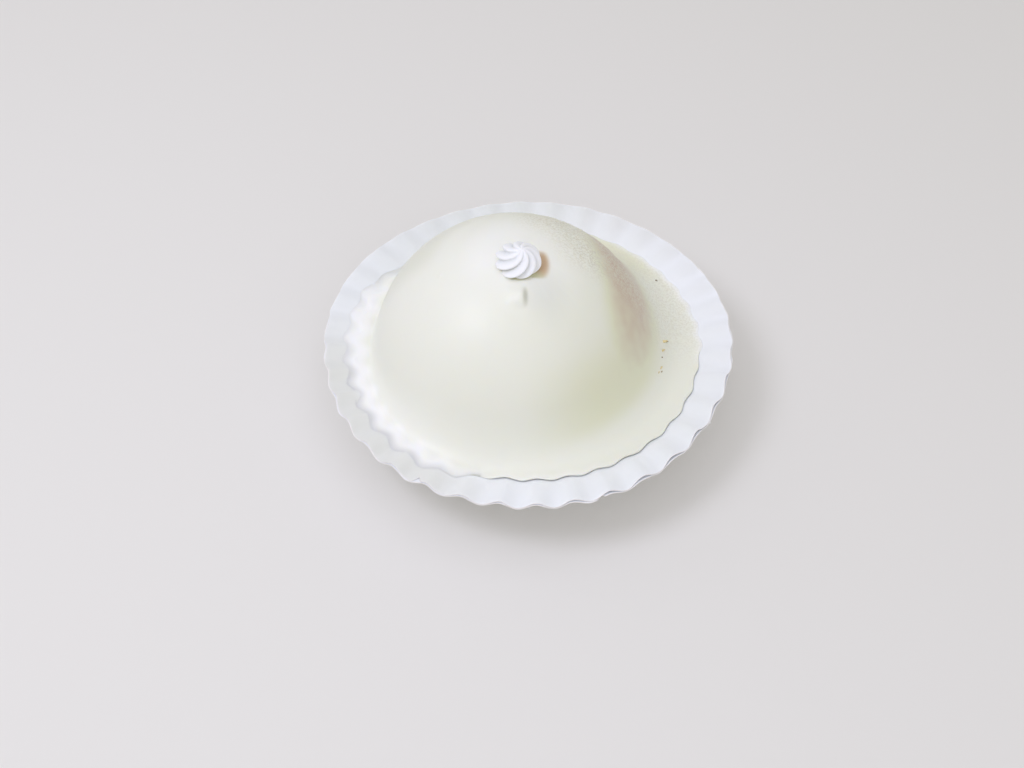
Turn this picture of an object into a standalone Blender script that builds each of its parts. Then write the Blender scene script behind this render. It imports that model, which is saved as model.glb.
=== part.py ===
"""Small glazed lemon dome cake in a doubled, fluted paper case, with a piped rosette on top.

Metres, +Z up. The origin is on the flat underside of the case, below the middle of its rim.
-Y is the front of the cake, the side where the case flares out furthest, and +X is its right.

The case is two thin fluted cups, one inside the other. The cake is one solid: a glazed half
ball that stands in a pool of the same glaze, which reaches out to the wall of the case.
"""

import math

import bmesh
import bpy
import numpy as np

MM = 0.001

# Case, in millimetres: the inner face of the inner cup, halfway between ridge and groove
CASE_HEIGHT = 21.0
SHEET = 0.3
SHEET_GAP = 0.38
BASE_RADIUS = 38.0
RIM_RADIUS = 58.4
WALL_CURVE = 1.35
WALL_STEPS = (0.0, 0.35, 0.7, 1.0)

# Flutes: 36 round waves, shallow at the base and deep at the rim
FLUTES = 36
POINTS_PER_FLUTE = 6
FIRST_RIDGE_DEG = 7.0
BASE_DEPTH = 0.2
RIM_DEPTH = 0.95

# The case is soft, so its rim and flutes are uneven: (waves round the rim, size, direction)
RIDGE_DRIFT_DEG = ((1, 0.7, -11.0), (2, 0.9, -17.0), (3, 0.5, -15.0), (4, 0.7, -15.0))
RIM_SWELL = ((2, 0.2, 61.0), (3, 0.4, 26.0), (5, 0.25, 8.0))
BASE_SHIFT = (1.0, 5.0)

# Cake: a half ball from an 80 mm mould, coated with glaze, off the case's middle
BALL_RADIUS = 41.5
BALL_CENTRE = (-4.1, 4.1, 11.4)
POOL_LEVEL = 15.0
CAKE_GAP = 0.55
CAKE_POINTS_PER_FLUTE = 4
EDGE_ROUND = 0.6
RIM_OF_POOL = 1.0

# Where the ball's slope reaches this steepness, a hollow foot takes over and runs out level
MEAN_SLOPE_DEG = 68.3
SLOPE_SWING = ((1, 5.8, -170.0), (2, 4.4, -21.0), (4, 1.7, 0.0))
BALL_ROWS = (0.1, 0.24, 0.4, 0.57, 0.77, 1.0)
FOOT_ROWS = (0.14, 0.29, 0.45, 0.63, 0.81, 1.0)

# Rosette: one star-tipped swirl of cream, just in front of the top
ROSETTE_CENTRE = (-3.0, 0.0)
ROSETTE_GAP = 0.4
ROSETTE_HEIGHT = 4.9
ROSETTE_RADIUS = 5.7
ROSETTE_LEAN = (1.4, 0.3)
ROSETTE_RIDGES = 8
ROSETTE_TWIST_DEG = 95.0
RIDGE_HEIGHT = 0.7
ROSETTE_POINTS = 64
ROSETTE_ROWS = (
    (0.0, 0.84),
    (0.13, 0.97),
    (0.28, 1.0),
    (0.44, 0.95),
    (0.60, 0.82),
    (0.75, 0.62),
    (0.87, 0.40),
    (0.96, 0.19),
)


def clear_scene():
    """Removes every object that the file opens with."""
    for item in list(bpy.data.objects):
        bpy.data.objects.remove(item, do_unlink=True)


def material(name, colour, roughness):
    """A matte or glossy food or paper surface."""
    finish = bpy.data.materials.new(name)
    finish.use_nodes = True
    shader = finish.node_tree.nodes["Principled BSDF"]
    shader.inputs["Base Color"].default_value = (*colour, 1.0)
    shader.inputs["Roughness"].default_value = roughness
    shader.inputs["Metallic"].default_value = 0.0
    return finish


def waves(azimuth, terms):
    """Sum of a few long waves round the cake: (waves, size, direction in degrees)."""
    return sum(size * np.cos(count * (azimuth - math.radians(direction))) for count, size, direction in terms)


def ring_of(x, y, z):
    """A ring of points from arrays or single values, in millimetres."""
    return np.stack(np.broadcast_arrays(x, y, z), axis=-1)


def ringed_solid(name, bottom, rings, top, finish):
    """A closed solid: a pole, rings of equal length joined by quads, and a second pole."""
    mesh = bpy.data.meshes.new(name)
    shape = bmesh.new()
    first = shape.verts.new(np.asarray(bottom) * MM)
    loops = [[shape.verts.new(point) for point in ring * MM] for ring in rings]
    last = shape.verts.new(np.asarray(top) * MM)
    count = len(loops[0])
    for i in range(count):
        j = (i + 1) % count
        shape.faces.new((first, loops[0][j], loops[0][i]))
        for low, high in zip(loops, loops[1:]):
            shape.faces.new((low[i], low[j], high[j], high[i]))
        shape.faces.new((last, loops[-1][i], loops[-1][j]))
    bmesh.ops.triangulate(shape, faces=shape.faces[:])
    bmesh.ops.recalc_face_normals(shape, faces=shape.faces[:])
    shape.to_mesh(mesh)
    shape.free()
    mesh.shade_smooth()
    mesh.set_sharp_from_angle(angle=math.radians(50))
    mesh.materials.append(finish)
    item = bpy.data.objects.new(name, mesh)
    bpy.context.scene.collection.objects.link(item)
    return item


# The case

def wall_radius(step):
    """Radius of the cup's inner face, halfway up a flute, at a step from base (0) to rim (1)."""
    return BASE_RADIUS + (RIM_RADIUS - BASE_RADIUS) * step ** WALL_CURVE


def wall_height(step):
    """Height of the inner face at that step."""
    floor = 2 * SHEET + SHEET_GAP
    return floor + (CASE_HEIGHT - floor) * step


def step_at(height):
    """The wall's step at a height of the inner face."""
    return (height - wall_height(0)) / (CASE_HEIGHT - wall_height(0))


def flute_depth(step):
    """How far a ridge stands out from the middle of the wall at that step."""
    return BASE_DEPTH + (RIM_DEPTH - BASE_DEPTH) * step ** 3


def wall_centre(step):
    """The cup leans: its base lies behind and to the right of the middle of its rim."""
    away = 1 - step ** 4
    return BASE_SHIFT[0] * away, BASE_SHIFT[1] * away


def offset_profile(distance):
    """The cup's profile moved outward by a distance, with mitred corners: (step, radius, height)."""
    points = [(0.0, wall_height(0))] + [(wall_radius(s), wall_height(s)) for s in WALL_STEPS]
    points = np.array(points)
    along = np.diff(points, axis=0)
    along /= np.linalg.norm(along, axis=1)[:, None]
    outward = np.stack([along[:, 1], -along[:, 0]], axis=1)
    before = np.vstack([outward[:1], outward])
    after = np.vstack([outward, outward[-1:]])
    mitre = before + after
    mitre /= (mitre * after).sum(axis=1)[:, None]
    moved = points + distance * mitre
    return [(step, radius, height) for step, (radius, height) in zip(WALL_STEPS, moved[1:])]


def fluted_ring(step, radius, height, points_per_flute):
    """One fluted ring round the wall, with its points set on the ridges and grooves."""
    even = np.linspace(0, 2 * math.pi, FLUTES * points_per_flute, endpoint=False)
    azimuth = even + math.radians(FIRST_RIDGE_DEG) + np.radians(waves(even, RIDGE_DRIFT_DEG))
    spread = radius + flute_depth(step) * np.cos(FLUTES * even) + waves(azimuth, RIM_SWELL) * step ** 6
    x, y = wall_centre(step)
    return ring_of(x + spread * np.cos(azimuth), y + spread * np.sin(azimuth), height)


def fluted_cup(name, inset, finish):
    """A thin fluted cup whose inner face lies a distance outside the innermost face."""
    inner = [fluted_ring(*row, POINTS_PER_FLUTE) for row in offset_profile(inset)]
    outer = [fluted_ring(*row, POINTS_PER_FLUTE) for row in offset_profile(inset + SHEET)]
    floor = wall_height(0) - inset
    middle = wall_centre(0)
    return ringed_solid(name, (*middle, floor), inner + outer[::-1], (*middle, floor - SHEET), finish)


# The cake

def side_ring(step):
    """A ring of the cake's side, which follows the flutes just inside the wall."""
    return fluted_ring(step, wall_radius(step) - CAKE_GAP, wall_height(step), CAKE_POINTS_PER_FLUTE)


def seen_from_ball(ring):
    """Azimuth and distance of a ring's points from the ball's axis."""
    away = ring[:, :2] - BALL_CENTRE[:2]
    return np.arctan2(away[:, 1], away[:, 0]), np.linalg.norm(away, axis=1)


def cake_ring(azimuth, distance, height):
    """A ring round the ball's axis."""
    x = BALL_CENTRE[0] + distance * np.cos(azimuth)
    y = BALL_CENTRE[1] + distance * np.sin(azimuth)
    return ring_of(x, y, height)


def dome_rings(azimuth, edge):
    """From the pool's edge up to the top of the ball.

    The foot's height over the pool falls with a power of the way left to its end. The power is
    the one that meets the ball without a crease, so a wide foot is hollow and a narrow one tight.
    """
    slope = np.radians(MEAN_SLOPE_DEG + waves(azimuth, SLOPE_SWING))
    start = BALL_RADIUS * np.sin(slope)
    drop = BALL_CENTRE[2] + BALL_RADIUS * np.cos(slope) - POOL_LEVEL
    reach = edge - RIM_OF_POOL - start
    power = np.tan(slope) * reach / drop

    rings = [cake_ring(azimuth, edge - 0.3 * EDGE_ROUND, POOL_LEVEL - 0.3 * EDGE_ROUND)]
    for share in reversed(FOOT_ROWS):
        rings.append(cake_ring(azimuth, start + reach * share, POOL_LEVEL + drop * (1 - share) ** power))
    for share in reversed(BALL_ROWS):
        distance = BALL_RADIUS * np.sin(slope * share)
        rings.append(cake_ring(azimuth, distance, BALL_CENTRE[2] + BALL_RADIUS * np.cos(slope * share)))
    return rings


def glazed_cake(finish):
    """The cake from the floor of the case to the top of the ball."""
    floor = side_ring(0.0)
    floor[:, 2] += SHEET_GAP
    waist = side_ring(WALL_STEPS[1])
    edge = side_ring(step_at(POOL_LEVEL - EDGE_ROUND))
    rings = [floor, waist, edge] + dome_rings(*seen_from_ball(edge))
    bottom = (*BALL_CENTRE[:2], floor[0, 2])
    top = (*BALL_CENTRE[:2], BALL_CENTRE[2] + BALL_RADIUS)
    return ringed_solid("glazed_cake", bottom, rings, top, finish)


# The rosette

def ball_height(x, y):
    """Height of the ball's surface over a point of the plan."""
    return BALL_CENTRE[2] + np.sqrt(BALL_RADIUS ** 2 - (x - BALL_CENTRE[0]) ** 2 - (y - BALL_CENTRE[1]) ** 2)


def cream_rosette(finish):
    """A swirl with rounded ridges that turn as they rise to one soft peak."""
    azimuth = np.linspace(0, 2 * math.pi, ROSETTE_POINTS, endpoint=False)
    middle_x, middle_y = ROSETTE_CENTRE
    lean_x, lean_y = ROSETTE_LEAN
    seat = ball_height(middle_x, middle_y) + ROSETTE_GAP
    rings = []
    for rise, width in ROSETTE_ROWS:
        turned = azimuth + math.radians(ROSETTE_TWIST_DEG) * rise
        ridge = np.abs(np.cos(ROSETTE_RIDGES / 2 * azimuth)) * 2 - 1
        spread = (ROSETTE_RADIUS + RIDGE_HEIGHT * ridge) * width
        x = middle_x + lean_x * rise + spread * np.cos(turned)
        y = middle_y + lean_y * rise + spread * np.sin(turned)
        rings.append(ring_of(x, y, ball_height(x, y) + ROSETTE_GAP + ROSETTE_HEIGHT * rise))
    bottom = (middle_x, middle_y, seat)
    top = (middle_x + lean_x, middle_y + lean_y, seat + ROSETTE_HEIGHT)
    return ringed_solid("cream_rosette", bottom, rings, top, finish)


clear_scene()
paper = material("white_coated_paper", (0.83, 0.84, 0.88), 0.35)
glaze = material("lemon_cream_glaze", (0.86, 0.86, 0.78), 0.4)
cream = material("whipped_cream", (0.88, 0.88, 0.88), 0.55)
fluted_cup("inner_case", 0.0, paper)
fluted_cup("outer_case", SHEET + SHEET_GAP, paper)
glazed_cake(glaze)
cream_rosette(cream)
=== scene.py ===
import math

import bpy
import numpy as np
from mathutils import Matrix, Vector


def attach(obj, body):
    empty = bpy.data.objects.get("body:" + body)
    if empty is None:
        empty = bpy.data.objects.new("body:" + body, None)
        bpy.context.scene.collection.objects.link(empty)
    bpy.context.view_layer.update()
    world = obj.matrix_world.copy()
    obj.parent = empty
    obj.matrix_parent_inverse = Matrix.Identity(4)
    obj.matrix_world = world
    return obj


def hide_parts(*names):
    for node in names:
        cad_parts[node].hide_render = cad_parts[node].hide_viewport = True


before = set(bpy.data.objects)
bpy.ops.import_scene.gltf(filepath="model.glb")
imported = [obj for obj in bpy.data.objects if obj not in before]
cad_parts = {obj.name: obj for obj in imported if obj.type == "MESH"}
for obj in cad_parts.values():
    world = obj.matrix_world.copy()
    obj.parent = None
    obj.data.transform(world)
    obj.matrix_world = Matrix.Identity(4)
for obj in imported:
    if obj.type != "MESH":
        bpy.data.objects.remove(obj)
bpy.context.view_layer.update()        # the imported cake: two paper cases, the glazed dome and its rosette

# A lemon dome cake in a doubled paper case. Lengths in the settings are millimetres. Directions are degrees
# round the cake: 0 is its right, -90 its front. An arc is its middle direction, half its width and the
# width of its soft ends. A pair of numbers for a fade is where it starts and where it ends.
mm = 0.001
print("frame loaded:", ", ".join(sorted(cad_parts)))


# shapes

def waves(turn, terms):
    # sum of a few long waves round the cake, each size * cos(count * (turn - direction))
    return sum(size * np.cos(count * (turn - math.radians(direction))) for count, size, direction in terms)


def fade(low, high, value):
    # 0 up to low, 1 from high on, and the s-curve 3t^2 - 2t^3 between them
    share = np.clip((value - low) / (high - low), 0, 1)
    return share * share * (3 - 2 * share)


def facing(turn, middleDeg, halfDeg, softDeg):
    # 1 on an arc round the cake, and a soft fall to 0 past both its ends
    away = np.abs((np.degrees(turn) - middleDeg + 180) % 360 - 180)
    return 1 - fade(halfDeg, halfDeg + softDeg, away)


def lumps(points, size, seed):
    # value noise, -1 to 1: a random height on each corner of a cubic lattice, blended smoothly between them
    place = points / size
    low = np.floor(place).astype(np.int64)
    share = place - low
    share = share * share * (3 - 2 * share)
    total = np.zeros(points.shape[:-1])
    for corner in np.ndindex(2, 2, 2):
        x, y, z = np.moveaxis(low + np.array(corner), -1, 0)
        # large primes mix the bits
        code = (x * 73856093) ^ (y * 19349663) ^ (z * 83492791) ^ (seed * 2971215073)
        code = (code ^ (code >> 13)) * 1274126177
        code = (code ^ (code >> 16)) & 0xFFFF
        weight = np.prod(np.where(np.array(corner) == 1, share, 1 - share), axis=-1)
        total += weight * code / 0xFFFF
    return total * 2 - 1


def evenTurns(count):
    # turns spaced evenly round a ring, as one row
    return np.linspace(0, 2 * math.pi, count, endpoint=False)[None, :]


def outward(grid):
    # normals of a grid: the step round the cake crossed with the step along the rows
    alongRows = np.gradient(grid, axis=0)
    alongRing = np.roll(grid, -1, axis=1) - np.roll(grid, 1, axis=1)
    normal = np.cross(alongRing, alongRows)
    return normal / np.linalg.norm(normal, axis=-1, keepdims=True)


def closedSkin(name, skins, finish, fields=None):
    # each skin is a grid of rows x columns x 3 and its two poles: neighbours join as quads, the last column
    # meets the first, a fan of triangles closes each end, and faces turn so that the volume is positive
    points, quads, fans, start = [], [], [], 0
    for grid, firstPole, lastPole in skins:
        rows, columns = grid.shape[:2]
        index = start + np.arange(rows * columns).reshape(rows, columns)
        beside = np.roll(index, -1, axis=1)
        first, last = start + rows * columns, start + rows * columns + 1
        skinQuads = np.stack([index[:-1], beside[:-1], beside[1:], index[1:]], axis=-1).reshape(-1, 4)
        skinFans = np.concatenate([
            np.stack([np.full(columns, first), beside[0], index[0]], axis=-1),
            np.stack([np.full(columns, last), index[-1], beside[-1]], axis=-1),
        ])
        allPoints = np.concatenate([grid.reshape(-1, 3), [firstPole], [lastPole]])
        corners = np.concatenate([skinQuads[:, [0, 1, 2]], skinQuads[:, [0, 2, 3]], skinFans]) - start
        a, b, c = (allPoints[corners[:, k]] - allPoints[0] for k in range(3))
        if np.sum(a * np.cross(b, c)) < 0:
            skinQuads, skinFans = skinQuads[:, ::-1], skinFans[:, ::-1]
        points.append(allPoints)
        quads.append(skinQuads)
        fans.append(skinFans)
        start += len(allPoints)
    mesh = bpy.data.meshes.new(name)
    faces = np.concatenate(quads).tolist() + np.concatenate(fans).tolist()
    mesh.from_pydata((np.concatenate(points) * mm).tolist(), [], faces)
    for fieldName, values in (fields or {}).items():
        attribute = mesh.attributes.new(fieldName, "FLOAT", "POINT")
        attribute.data.foreach_set("value", values.astype(np.float32).ravel())
    mesh.shade_smooth()
    mesh.materials.append(finish)
    piece = bpy.data.objects.new(name, mesh)
    bpy.context.scene.collection.objects.link(piece)
    print(f"{name}: {len(mesh.polygons)} faces")
    return piece


def withPoles(field):
    # one skin's field as closedSkin stores its points: the grid, then 0 for its two poles
    return np.concatenate([field.ravel(), [0.0, 0.0]])


# finishes

def linear(hexText):
    # an sRGB hex colour as linear RGBA
    channels = np.array([int(hexText[i:i + 2], 16) for i in (1, 3, 5)]) / 255
    straight = np.where(channels <= 0.04045, channels / 12.92, ((channels + 0.055) / 1.055) ** 2.4)
    return (*straight.tolist(), 1.0)


def addNode(tree, kind, settings=None, links=None):
    # one node, its properties or unlinked inputs set, and its inputs joined to outputs of other nodes
    node = tree.nodes.new(kind)
    for key, value in (settings or {}).items():
        if isinstance(key, int) or key in node.inputs:
            node.inputs[key].default_value = value
        else:
            setattr(node, key, value)
    for key, output in (links or {}).items():
        tree.links.new(output, node.inputs[key])
    return node


def emptyMaterial(name):
    # a material with nothing in its node tree yet
    made = bpy.data.materials.new(name)
    made.use_nodes = True
    made.node_tree.nodes.clear()
    return made, made.node_tree


shaderNames = dict(
    roughness="Roughness", ior="IOR", gloss="Coat Weight", glossRoughness="Coat Roughness",
    sinksIn="Subsurface Weight", sinkTint="Subsurface Radius", sinkDepth="Subsurface Scale",
)


def lightOn(finish):
    # how a finish shines and lets light sink in, under the shader's own names
    return {name: finish[key] for key, name in shaderNames.items() if key in finish}


def perMetre(sizeMm):
    # a pattern's scale from the real size of one cell
    return 1000 / sizeMm


paperLook = dict(
    sheet="#FAFCFF", shade="#F6F8FB", cutEdge="#F5F0EC", film="#EBEBE6",
    fibre=0.7, fibreHeight=0.012, cloud=9.0, roughness=0.34, ior=1.5, gloss=0.4, glossRoughness=0.12,
    sinksIn=0.12, sinkTint=(1.0, 0.95, 0.9), sinkDepth=0.6 * mm,
)


def coatedPaper():
    # white bakery paper with a pressed, greaseproof coat: cool white, a soft sheen on the flutes, warm cut
    # edges, and high on the inner wall at the front left a faint film of glaze and painted shade, greyer
    # towards the rim
    made, tree = emptyMaterial("coated_bakery_paper")
    place = addNode(tree, "ShaderNodeTexCoord").outputs["Object"]
    fibres = addNode(tree, "ShaderNodeTexNoise", {"Scale": perMetre(paperLook["fibre"]), "Detail": 4.0},
                     {"Vector": place})
    clouds = addNode(tree, "ShaderNodeTexNoise", {"Scale": perMetre(paperLook["cloud"]), "Detail": 2.0},
                     {"Vector": place})
    white = addNode(tree, "ShaderNodeMix", {"data_type": "RGBA", 6: linear(paperLook["sheet"]),
                                            7: linear(paperLook["shade"])}, {0: clouds.outputs["Fac"]})
    colour = white.outputs[2]
    for tone in ("film", "cutEdge"):    # each painted tone lies over the one before it
        painted = addNode(tree, "ShaderNodeAttribute", {"attribute_name": tone})
        layer = addNode(tree, "ShaderNodeMix", {"data_type": "RGBA", 7: linear(paperLook[tone])},
                        {0: painted.outputs["Fac"], 6: colour})
        colour = layer.outputs[2]
    relief = addNode(tree, "ShaderNodeBump", {"Strength": 1.0, "Distance": paperLook["fibreHeight"] * mm},
                     {"Height": fibres.outputs["Fac"]})
    shader = addNode(tree, "ShaderNodeBsdfPrincipled", lightOn(paperLook),
                     {"Base Color": colour, "Normal": relief.outputs["Normal"]})
    addNode(tree, "ShaderNodeOutputMaterial", links={"Surface": shader.outputs["BSDF"]})
    return made


# besides the glaze's own colours: the pale tone also holds painted light and a painted highlight, the grey
# tones hold painted shade, the straw and crumb tones also paint shade on the flank, and the syrup and olive
# tones also paint the rosette's shadow
glazeLook = dict(
    glaze="#EDEDDD", pale="#FDFCF8", film="#E3E2E0", paintedShade="#C9CAC4", straw="#E6E6CA", crumb="#CBB29E",
    syrupAndShadow="#CFB391", oliveStainShadow="#CECBA6", pits="#DCD8C4",
    strawShare=0.3,    # the glaze thins to straw up to here, and from here on to crumb
    grain=0.6, grainHeight=0.12, pit=(0.42, 0.64), skin=4.5, skinHeight=0.03, skinStrength=0.6,
    roughness=0.44, ior=1.45, gloss=0.15, glossRoughness=0.3,
    sinksIn=0.3, sinkTint=(1.0, 0.85, 0.55), sinkDepth=0.5 * mm,
)


def lemonGlaze():
    # poured white lemon glaze, set to a soft satin skin: pale ivory, with painted light making it whiter on
    # its lit left side and top, and whiter where it thins out over the paper, on the left also as a painted
    # highlight;
    # painted shade greys its bare film on the flutes and darkens it beside the drip and at the back; where it
    # is thin on the back right the crumb under it shows, straw to brown, through a grain of sugar, and the
    # same tones paint shade on the flank turned from the light; syrup from the rosette stains it at the
    # rosette's right foot, brown to olive, together with the rosette's painted shadow; a little light sinks
    # in
    made, tree = emptyMaterial("white_lemon_glaze")
    place = addNode(tree, "ShaderNodeTexCoord").outputs["Object"]
    painted = {}
    for field in ("thin", "grainy", "pale", "paintedShade", "film", "stainAndShadow", "oliveStainShadow"):
        painted[field] = addNode(tree, "ShaderNodeAttribute", {"attribute_name": field}).outputs["Fac"]
    strawShare = addNode(tree, "ShaderNodeMapRange", {"From Max": glazeLook["strawShare"]},
                         {"Value": painted["thin"]})
    crumbShare = addNode(tree, "ShaderNodeMapRange", {"From Min": glazeLook["strawShare"]},
                         {"Value": painted["thin"]})
    grain = addNode(tree, "ShaderNodeTexNoise", {"Scale": perMetre(glazeLook["grain"]), "Detail": 1.0},
                    {"Vector": place})
    pitFrom, pitFull = glazeLook["pit"]
    pit = addNode(tree, "ShaderNodeMapRange", {"From Min": pitFrom, "From Max": pitFull},
                  {"Value": grain.outputs["Fac"]})
    pitShare = addNode(tree, "ShaderNodeMath", {"operation": "MULTIPLY"},
                       {0: pit.outputs["Result"], 1: painted["grainy"]})
    poured = addNode(tree, "ShaderNodeMix", {"data_type": "RGBA", 6: linear(glazeLook["glaze"]),
                                             7: linear(glazeLook["pale"])}, {0: painted["pale"]})
    colour = poured.outputs[2]
    for tone, share in (    # each tone lies over the ones before it
        ("straw", strawShare.outputs["Result"]),
        ("crumb", crumbShare.outputs["Result"]),
        ("pits", pitShare.outputs["Value"]),
        ("paintedShade", painted["paintedShade"]),
        ("film", painted["film"]),
    ):
        layer = addNode(tree, "ShaderNodeMix", {"data_type": "RGBA", 7: linear(glazeLook[tone])},
                        {0: share, 6: colour})
        colour = layer.outputs[2]
    syrupAndShadow = addNode(tree, "ShaderNodeMix", {"data_type": "RGBA", 6: linear(glazeLook["syrupAndShadow"]),
                                            7: linear(glazeLook["oliveStainShadow"])}, {0: painted["oliveStainShadow"]})
    soakedAndShaded = addNode(tree, "ShaderNodeMix", {"data_type": "RGBA"},
                     {0: painted["stainAndShadow"], 6: colour, 7: syrupAndShadow.outputs[2]})
    grainRelief = addNode(tree, "ShaderNodeBump", {"Distance": glazeLook["grainHeight"] * mm},
                          {"Height": grain.outputs["Fac"], "Strength": painted["grainy"]})
    skin = addNode(tree, "ShaderNodeTexNoise", {"Scale": perMetre(glazeLook["skin"]), "Detail": 1.0},
                   {"Vector": place})
    relief = addNode(tree, "ShaderNodeBump", {"Strength": glazeLook["skinStrength"],
                                              "Distance": glazeLook["skinHeight"] * mm},
                     {"Height": skin.outputs["Fac"], "Normal": grainRelief.outputs["Normal"]})
    shader = addNode(tree, "ShaderNodeBsdfPrincipled", lightOn(glazeLook),
                     {"Base Color": soakedAndShaded.outputs[2], "Normal": relief.outputs["Normal"]})
    addNode(tree, "ShaderNodeOutputMaterial", links={"Surface": shader.outputs["BSDF"]})
    return made


# the hollow colour is the cream in painted shade, down in its grooves
creamLook = dict(
    cream="#FBFBFC", hollow="#E6E8E8", bubble=0.5, bubbleHeight=0.02, roughness=0.5, ior=1.45,
    sinksIn=0.2, sinkTint=(1.0, 0.9, 0.75), sinkDepth=0.8 * mm,
)


def whippedCream():
    # whipped cream from a star tube: cool white and matte, with painted shade greying it down in the grooves,
    # and tiny air holes that only soften its light
    made, tree = emptyMaterial("whipped_cream")
    place = addNode(tree, "ShaderNodeTexCoord").outputs["Object"]
    bubbles = addNode(tree, "ShaderNodeTexNoise", {"Scale": perMetre(creamLook["bubble"]), "Detail": 3.0},
                      {"Vector": place})
    groove = addNode(tree, "ShaderNodeAttribute", {"attribute_name": "groove"})
    colour = addNode(tree, "ShaderNodeMix", {"data_type": "RGBA", 6: linear(creamLook["cream"]),
                                             7: linear(creamLook["hollow"])}, {0: groove.outputs["Fac"]})
    relief = addNode(tree, "ShaderNodeBump", {"Strength": 1.0, "Distance": creamLook["bubbleHeight"] * mm},
                     {"Height": bubbles.outputs["Fac"]})
    shader = addNode(tree, "ShaderNodeBsdfPrincipled", lightOn(creamLook),
                     {"Base Color": colour.outputs[2], "Normal": relief.outputs["Normal"]})
    addNode(tree, "ShaderNodeOutputMaterial", links={"Surface": shader.outputs["BSDF"]})
    return made


zestLook = dict(orange="#F6E3A6", dark="#5E4B28", wrinkle=0.5, wrinkleHeight=0.03, wrinkleStrength=0.5,
                  roughness=0.4)


def candiedZest():
    # scraps of candied peel and seed: orange to dark brown, a little waxy and wrinkled
    made, tree = emptyMaterial("candied_zest")
    place = addNode(tree, "ShaderNodeTexCoord").outputs["Object"]
    dark = addNode(tree, "ShaderNodeAttribute", {"attribute_name": "dark"})
    wrinkles = addNode(tree, "ShaderNodeTexNoise", {"Scale": perMetre(zestLook["wrinkle"])},
                       {"Vector": place})
    colour = addNode(tree, "ShaderNodeMix", {"data_type": "RGBA", 6: linear(zestLook["orange"]),
                                             7: linear(zestLook["dark"])}, {0: dark.outputs["Fac"]})
    relief = addNode(tree, "ShaderNodeBump", {"Strength": zestLook["wrinkleStrength"],
                                              "Distance": zestLook["wrinkleHeight"] * mm},
                     {"Height": wrinkles.outputs["Fac"]})
    shader = addNode(tree, "ShaderNodeBsdfPrincipled", lightOn(zestLook),
                     {"Base Color": colour.outputs[2], "Normal": relief.outputs["Normal"]})
    addNode(tree, "ShaderNodeOutputMaterial", links={"Surface": shader.outputs["BSDF"]})
    return made


# the paper cases

cup = dict(
    height=21.0, floor=0.98, baseRadius=38.0, rimRadius=58.4, wallCurve=1.35,
    cornerStep=0.09, cornerReach=1.6,
    baseShift=(1.0, 5.0), shiftCurve=4,    # the base stands off the middle of the rim
    flutes=36, firstRidge=7.0, lowDepth=0.1, lowDepthBy=0.2, rimDepth=0.74, depthCurve=4,
    # waves round the cup: count, size, direction
    ridgeDrift=((1, 0.7, -11.0), (2, 0.9, -17.0), (3, 0.5, -15.0), (4, 0.7, -15.0)),
    rimSwell=((0, 0.5, 0.0), (1, 0.35, 95.0), (2, 0.16, 40.0), (3, 0.47, 27.0), (5, 0.26, 10.0)),
    rimLift=((0, 0.45, 0.0), (1, 0.45, 90.0)), swellCurve=6,
    floorRings=(0.02, 0.25, 0.5, 0.72, 0.87, 0.95),
    cornerRows=7, wallRows=38, rowCurve=0.85, columnsPerFlute=22,
    crimpHeight=0.05, crimpWidth=1.6, crimpRing=57.0, crimpsUp=2.2, crimpFrom=(0.05, 0.3),
    cutWander=0.004, cutLength=2.6, cutRing=60.0, cutCurve=8, nickFlat=0.4,
    film=(14.0, 18.5), filmArc=(-145.0, 22.0, 30.0),    # between these heights the wall greys towards the rim: a film of glaze, and painted shade
)


def wallLine(step):
    # the bell of the wall at a step from base (0) to rim (1): radius by a power of the step, height evenly
    widening = cup["rimRadius"] - cup["baseRadius"]
    radius = cup["baseRadius"] + widening * step ** cup["wallCurve"]
    height = cup["floor"] + (cup["height"] - cup["floor"]) * step
    return radius, height


def wallOutwards(step):
    # the way out of the bell, square to it: how far sideways, and how far up (below 0, as the wall leans out)
    widening = cup["rimRadius"] - cup["baseRadius"]
    run = widening * cup["wallCurve"] * step ** (cup["wallCurve"] - 1)
    rise = cup["height"] - cup["floor"]
    return rise / np.hypot(run, rise), -run / np.hypot(run, rise)


def stepAt(height):
    # the step at which the bell has a height
    return (height - cup["floor"]) / (cup["height"] - cup["floor"])


def roundTheCup(even):
    # even turns become real ones: the flutes stand a little unevenly round the cup
    return even + math.radians(cup["firstRidge"]) + np.radians(waves(even, cup["ridgeDrift"]))


def flute(step, even):
    # how far the fluted sheet stands off the bell, square to it: depth * cos(flutes * even)
    depth = cup["lowDepth"] * fade(0.0, cup["lowDepthBy"], step)
    depth = depth + (cup["rimDepth"] - cup["lowDepth"]) * step ** cup["depthCurve"]
    return depth * np.cos(cup["flutes"] * even), depth


def cupPlace(step, even, radius, height):
    # rings of the cup in space: the rim swells and lifts a little by its waves, the base leans off centre
    turn = roundTheCup(even)
    reach = radius + waves(turn, cup["rimSwell"]) * step ** cup["swellCurve"]
    lifted = height + waves(turn, cup["rimLift"]) * step ** cup["swellCurve"]
    lean = 1 - step ** cup["shiftCurve"]
    x = cup["baseShift"][0] * lean + reach * np.cos(turn)
    y = cup["baseShift"][1] * lean + reach * np.sin(turn)
    return np.stack(np.broadcast_arrays(x, y, lifted), axis=-1)


def insideWall(height, even, gap, fluteShare=1.0):
    # the ring at a height that keeps a gap to the wall; moving off the wall changes the height too, so the
    # step is found by repeating
    step = stepAt(height) + 0 * even
    for again in range(4):
        away = fluteShare * flute(step, even)[0] - gap
        level = height - waves(roundTheCup(even), cup["rimLift"]) * step ** cup["swellCurve"]
        step = stepAt(level - away * wallOutwards(step)[1])
    radius, wallHeight = wallLine(step)
    sideways, upwards = wallOutwards(step)
    return cupPlace(step, even, radius + away * sideways, wallHeight + away * upwards)


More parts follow.
